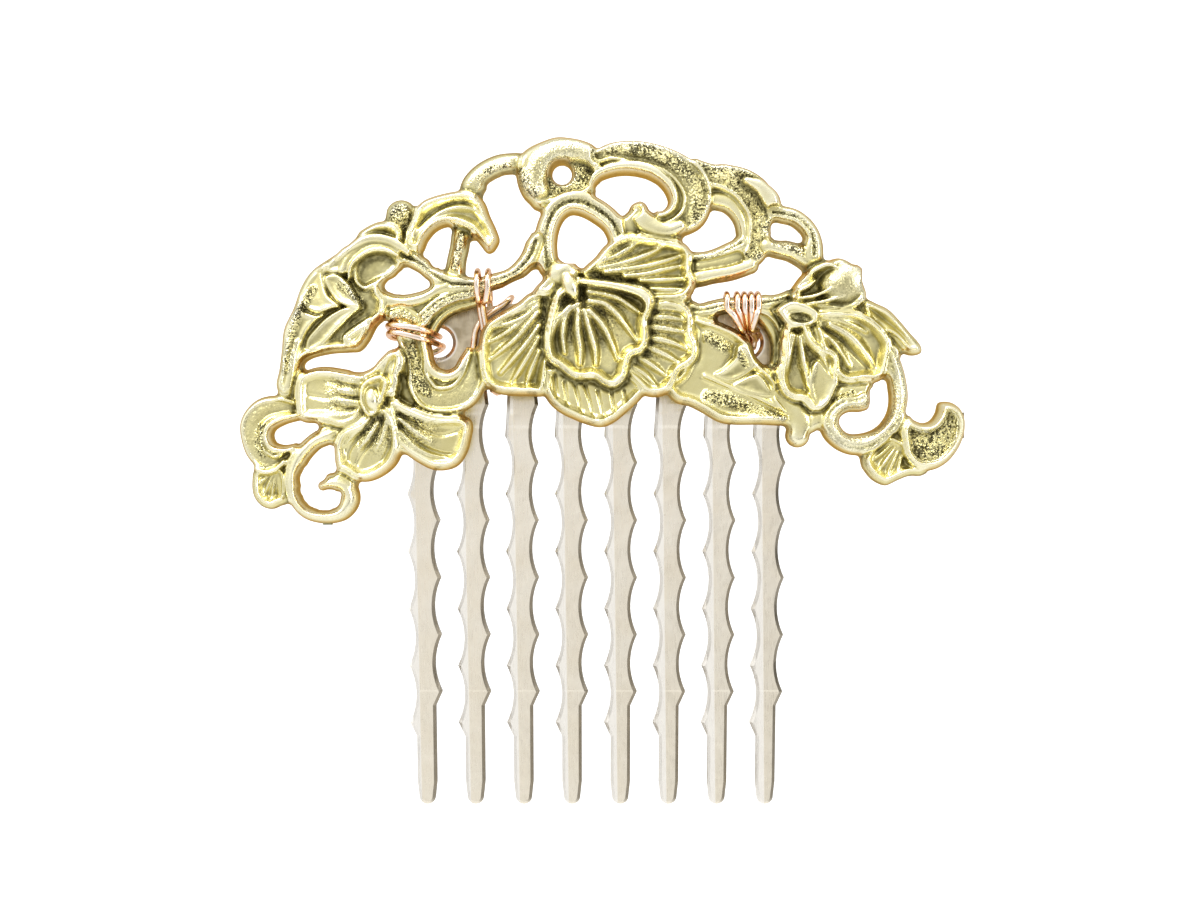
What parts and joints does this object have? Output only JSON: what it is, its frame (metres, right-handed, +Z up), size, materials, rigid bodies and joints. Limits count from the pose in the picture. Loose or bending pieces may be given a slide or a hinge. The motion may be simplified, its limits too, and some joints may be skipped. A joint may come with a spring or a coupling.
{
  "type": "hair comb",
  "caption": "Decorative hair comb: a stamped metal comb with scalloped teeth and a cast openwork spray of flowers, leaves and scrolls lashed on with wire.",
  "frame": {"origin": "middle of the teeth's root line, at mid-thickness of the comb's plate", "axes": "+X to the right seen from the front, along the row of teeth; -Y out of the ornament's front, +Y towards the head; +Z up, the teeth point down"},
  "size_m": [0.0747, 0.011, 0.0701],
  "materials": {
    "comb_steel": "plated, satin",
    "cast_brass": "aged, polished on the high spots",
    "copper_wire": "bright copper-coloured wire"
  },
  "bodies": {
    "root": {"comb_blank": "comb_steel", "ornament_casting": "cast_brass", "wire_left_upper": "copper_wire", "wire_left_lower": "copper_wire", "wire_left_inner": "copper_wire", "wire_right": "copper_wire"}
  },
  "joints": []
}
